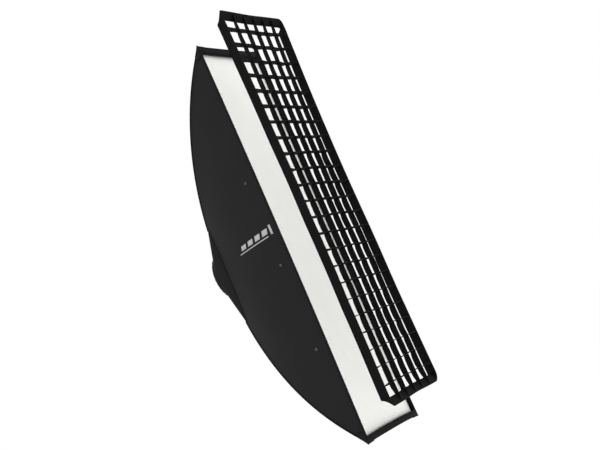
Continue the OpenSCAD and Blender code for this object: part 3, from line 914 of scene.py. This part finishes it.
def soft_band(bm, uv, line, stations, around, closed, size):
    """Adds a closed band to bm. line(s) gives (middle, sideways, deep, half thickness, half depth)."""
    rings = []
    count = stations if closed else stations + 1
    for i in range(count):
        middle, sideways, deep, half_t, half_d = line(i / stations)
        made = bmesh.ops.create_circle(bm, segments=around, radius=1.0)["verts"]
        for v in made:
            a, b = v.co.x, v.co.y
            hem = 1 + 0.35 * math.exp(-((abs(b) - 0.82) / 0.12) ** 2)
            v.co = middle + sideways * (math.copysign(abs(a) ** 0.45, a) * half_t * hem)
            v.co += deep * (math.copysign(abs(b) ** 0.6, b) * half_d)
        rings.append(made)
    pairs = list(zip(rings, rings[1:])) + ([(rings[-1], rings[0])] if closed else [])
    for at, (here, there) in enumerate(pairs):
        for k in range(around):
            m = (k + 1) % around
            face = bm.faces.new((here[k], here[m], there[m], there[k]))
            shares = ((at, k), (at, k + 1), (at + 1, k + 1), (at + 1, k))
            for corner, (s, t) in zip(face.loops, shares):
                corner[uv].uv = (s / stations * size[0], t / around * size[1])
    if not closed:
        for ring in (rings[0], rings[-1]):
            bm.faces.new(ring)


# ---- Grid hem ----
# The outer band is padded and folded double, and its corners are rounded, most of all the
# lower ones. It stands on edge along the long sides and turns nearly flat at the short ends.
hem_half_d = grid_half.y - 0.0006
hem_pad = 0.0034
hem_corners = ((1, 1, 0.014), (-1, 1, 0.008), (-1, -1, 0.016), (1, -1, 0.018))


def hem_path():
    """The hem's middle line as (x, z, outward x, outward z) at even steps."""
    w, l = grid_half.x - hem_pad, grid_half.z - hem_pad
    line = []
    for sx, sz, r in hem_corners:
        start = {(1, 1): 0, (-1, 1): 90, (-1, -1): 180, (1, -1): 270}[(sx, sz)]
        for step in range(9):
            turn = math.radians(start + 90 * step / 8)
            c, d = math.cos(turn), math.sin(turn)
            line.append((sx * (w - r) + r * c, sz * (l - r) + r * d, c, d))
    filled = []
    for here, there in zip(line, line[1:] + line[:1]):
        run = math.hypot(there[0] - here[0], there[1] - here[1])
        parts = max(1, round(run / 0.008))
        for k in range(parts):
            u = k / parts
            filled.append(tuple(a + (b - a) * u for a, b in zip(here, there)))
    return filled


path = hem_path()


def grid_hem_place(s):
    """(front edge, sideways, deep) of the band at share s of the way round."""
    x, z, nx, nz = path[round(s * len(path)) % len(path)]
    out = Vector((nx, 0, nz)).normalized()
    from_end = grid_half.z - hem_pad - abs(z)
    turn = 1.15 * max(0.0, 1 - from_end / (0.040 if z > 0 else 0.024)) ** 1.2
    deep = Vector((0, math.cos(turn), -math.copysign(math.sin(turn), z)))
    across = (out - deep * out.dot(deep)).normalized()
    front = Vector((grid_mid.x + x, grid_low.y + 0.0010 + 0.0028 * math.sin(turn), grid_mid.z + z))
    return grid_warp(front), across, deep


def hem_line(s):
    front, across, deep = grid_hem_place(s)
    half_t = hem_pad - 0.0006 - 0.0012 * abs(deep.z) + 0.0005 * noise.noise(front * 70)
    return front + deep * hem_half_d, across, deep, half_t, hem_half_d


bm = bmesh.new()
uv = bm.loops.layers.uv.new("cloth")
soft_band(bm, uv, hem_line, len(path), 20, True, (2.9, 0.075))
bmesh.ops.recalc_face_normals(bm, faces=bm.faces)
grid_rim = finish_piece(bm, "grid_hem_band", grid_black)
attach(grid_rim, "grid")
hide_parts("grid_hem")

# ---- Grid strips ----
# Five long bands and twenty-three short ones cross in halved slots. Between crossings each
# bows a little; at its ends each narrows and thickens where it is sewn into the hem.
cells_x, cells_z = 6, 24
strip_half_t = 0.0010
strip_low, strip_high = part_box("grid_long_strips")
strip_half_d = (strip_high.y - strip_low.y) / 2
cross_half_z = (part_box("grid_cross_strips")[1].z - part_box("grid_cross_strips")[0].z) / 2
inside_x = grid_half.x - 2 * hem_pad
inside_z = grid_half.z - 2 * hem_pad


def bow(share, cells, seed):
    """How far a strip bows between crossings at that share of its length, from -1 to 1."""
    cell = min(cells - 1, int(share * cells))
    sway = noise.noise(Vector((cell * 1.7, seed * 2.3, 11.0))) * 1.8
    return sway * math.sin(math.pi * (share * cells - cell))


def crossing_pinch(share, cells):
    return 1 - 0.10 * math.cos(math.pi * share * cells) ** 8


def long_line(i):
    x = grid_mid.x + (2 * (i - 1) / (cells_x - 2) - 1) * (strip_high.x - grid_mid.x)

    def line(s):
        end = min(s, 1 - s) * 2 * inside_z
        slack = max(0.0, (s - 0.55) / 0.45)
        tilt = 0.04 + 0.50 * slack + 0.10 * noise.noise(Vector((s * 9, i, 5.0)))
        half_t = strip_half_t + 0.0042 * math.exp(-end / 0.007)
        half_d = strip_half_d * crossing_pinch(s, cells_z) * (0.30 + 0.70 * min(1.0, end / 0.045) ** 0.8)
        at = Vector((x + 0.0022 * bow(s, cells_z, i), strip_low.y, grid_mid.z - inside_z + 2 * inside_z * s))
        deep = Vector((math.sin(tilt), math.cos(tilt), 0))
        at = grid_warp(at) + deep * half_d
        return at, Vector((deep.y, -deep.x, 0)), deep, half_t, half_d

    return line


def cross_line(j):
    z = grid_mid.z + (2 * (j - 1) / (cells_z - 2) - 1) * cross_half_z

    def line(s):
        end = min(s, 1 - s) * 2 * inside_x
        at = Vector((grid_mid.x - inside_x + 2 * inside_x * s, strip_low.y,
                     z + 0.0026 * bow(s, cells_x, j + 7)))
        lean = Vector((0, 0.12 * noise.noise(Vector((s * 4, j, 8.0))), 1)).normalized()
        taper = 0.40 + 0.60 * min(1.0, end / 0.020) ** 0.7
        half_t = strip_half_t + 0.0012 * math.exp(-end / 0.006)
        half_d = strip_half_d * crossing_pinch(s, cells_x) * taper
        deep = Vector((0, lean.z, -lean.y))
        return grid_warp(at) + deep * half_d, lean, deep, half_t, half_d

    return line


def strip_piece(name, lines, stations, size, node):
    bm = bmesh.new()
    uv = bm.loops.layers.uv.new("cloth")
    for line in lines:
        soft_band(bm, uv, line, stations, 12, False, size)
    bmesh.ops.recalc_face_normals(bm, faces=bm.faces)
    made = finish_piece(bm, name, grid_black)
    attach(made, "grid")
    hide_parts(node)
    return made


strip_piece("grid_long_bands", [long_line(i) for i in range(1, cells_x)], 192, (1.15, 0.065),
            "grid_long_strips")
strip_piece("grid_cross_bands", [cross_line(j) for j in range(1, cells_z)], 60, (0.28, 0.065),
            "grid_cross_strips")

# ---- Grid loop tape ----
# Loop tape is sewn round the hem's back edge.
loop_half_w = 0.0024
loop_half_t = 0.0005


def loop_line(s):
    front, across, deep = grid_hem_place(s)
    return front + deep * (2 * hem_half_d + 0.0004), across, deep, loop_half_w, loop_half_t


bm = bmesh.new()
uv = bm.loops.layers.uv.new("cloth")
soft_band(bm, uv, loop_line, len(path), 10, True, (2.9, 0.012))
bmesh.ops.recalc_face_normals(bm, faces=bm.faces)
loop_tape = finish_piece(bm, "grid_loop_band", tape_black)
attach(loop_tape, "grid")
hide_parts("grid_loop_tape")
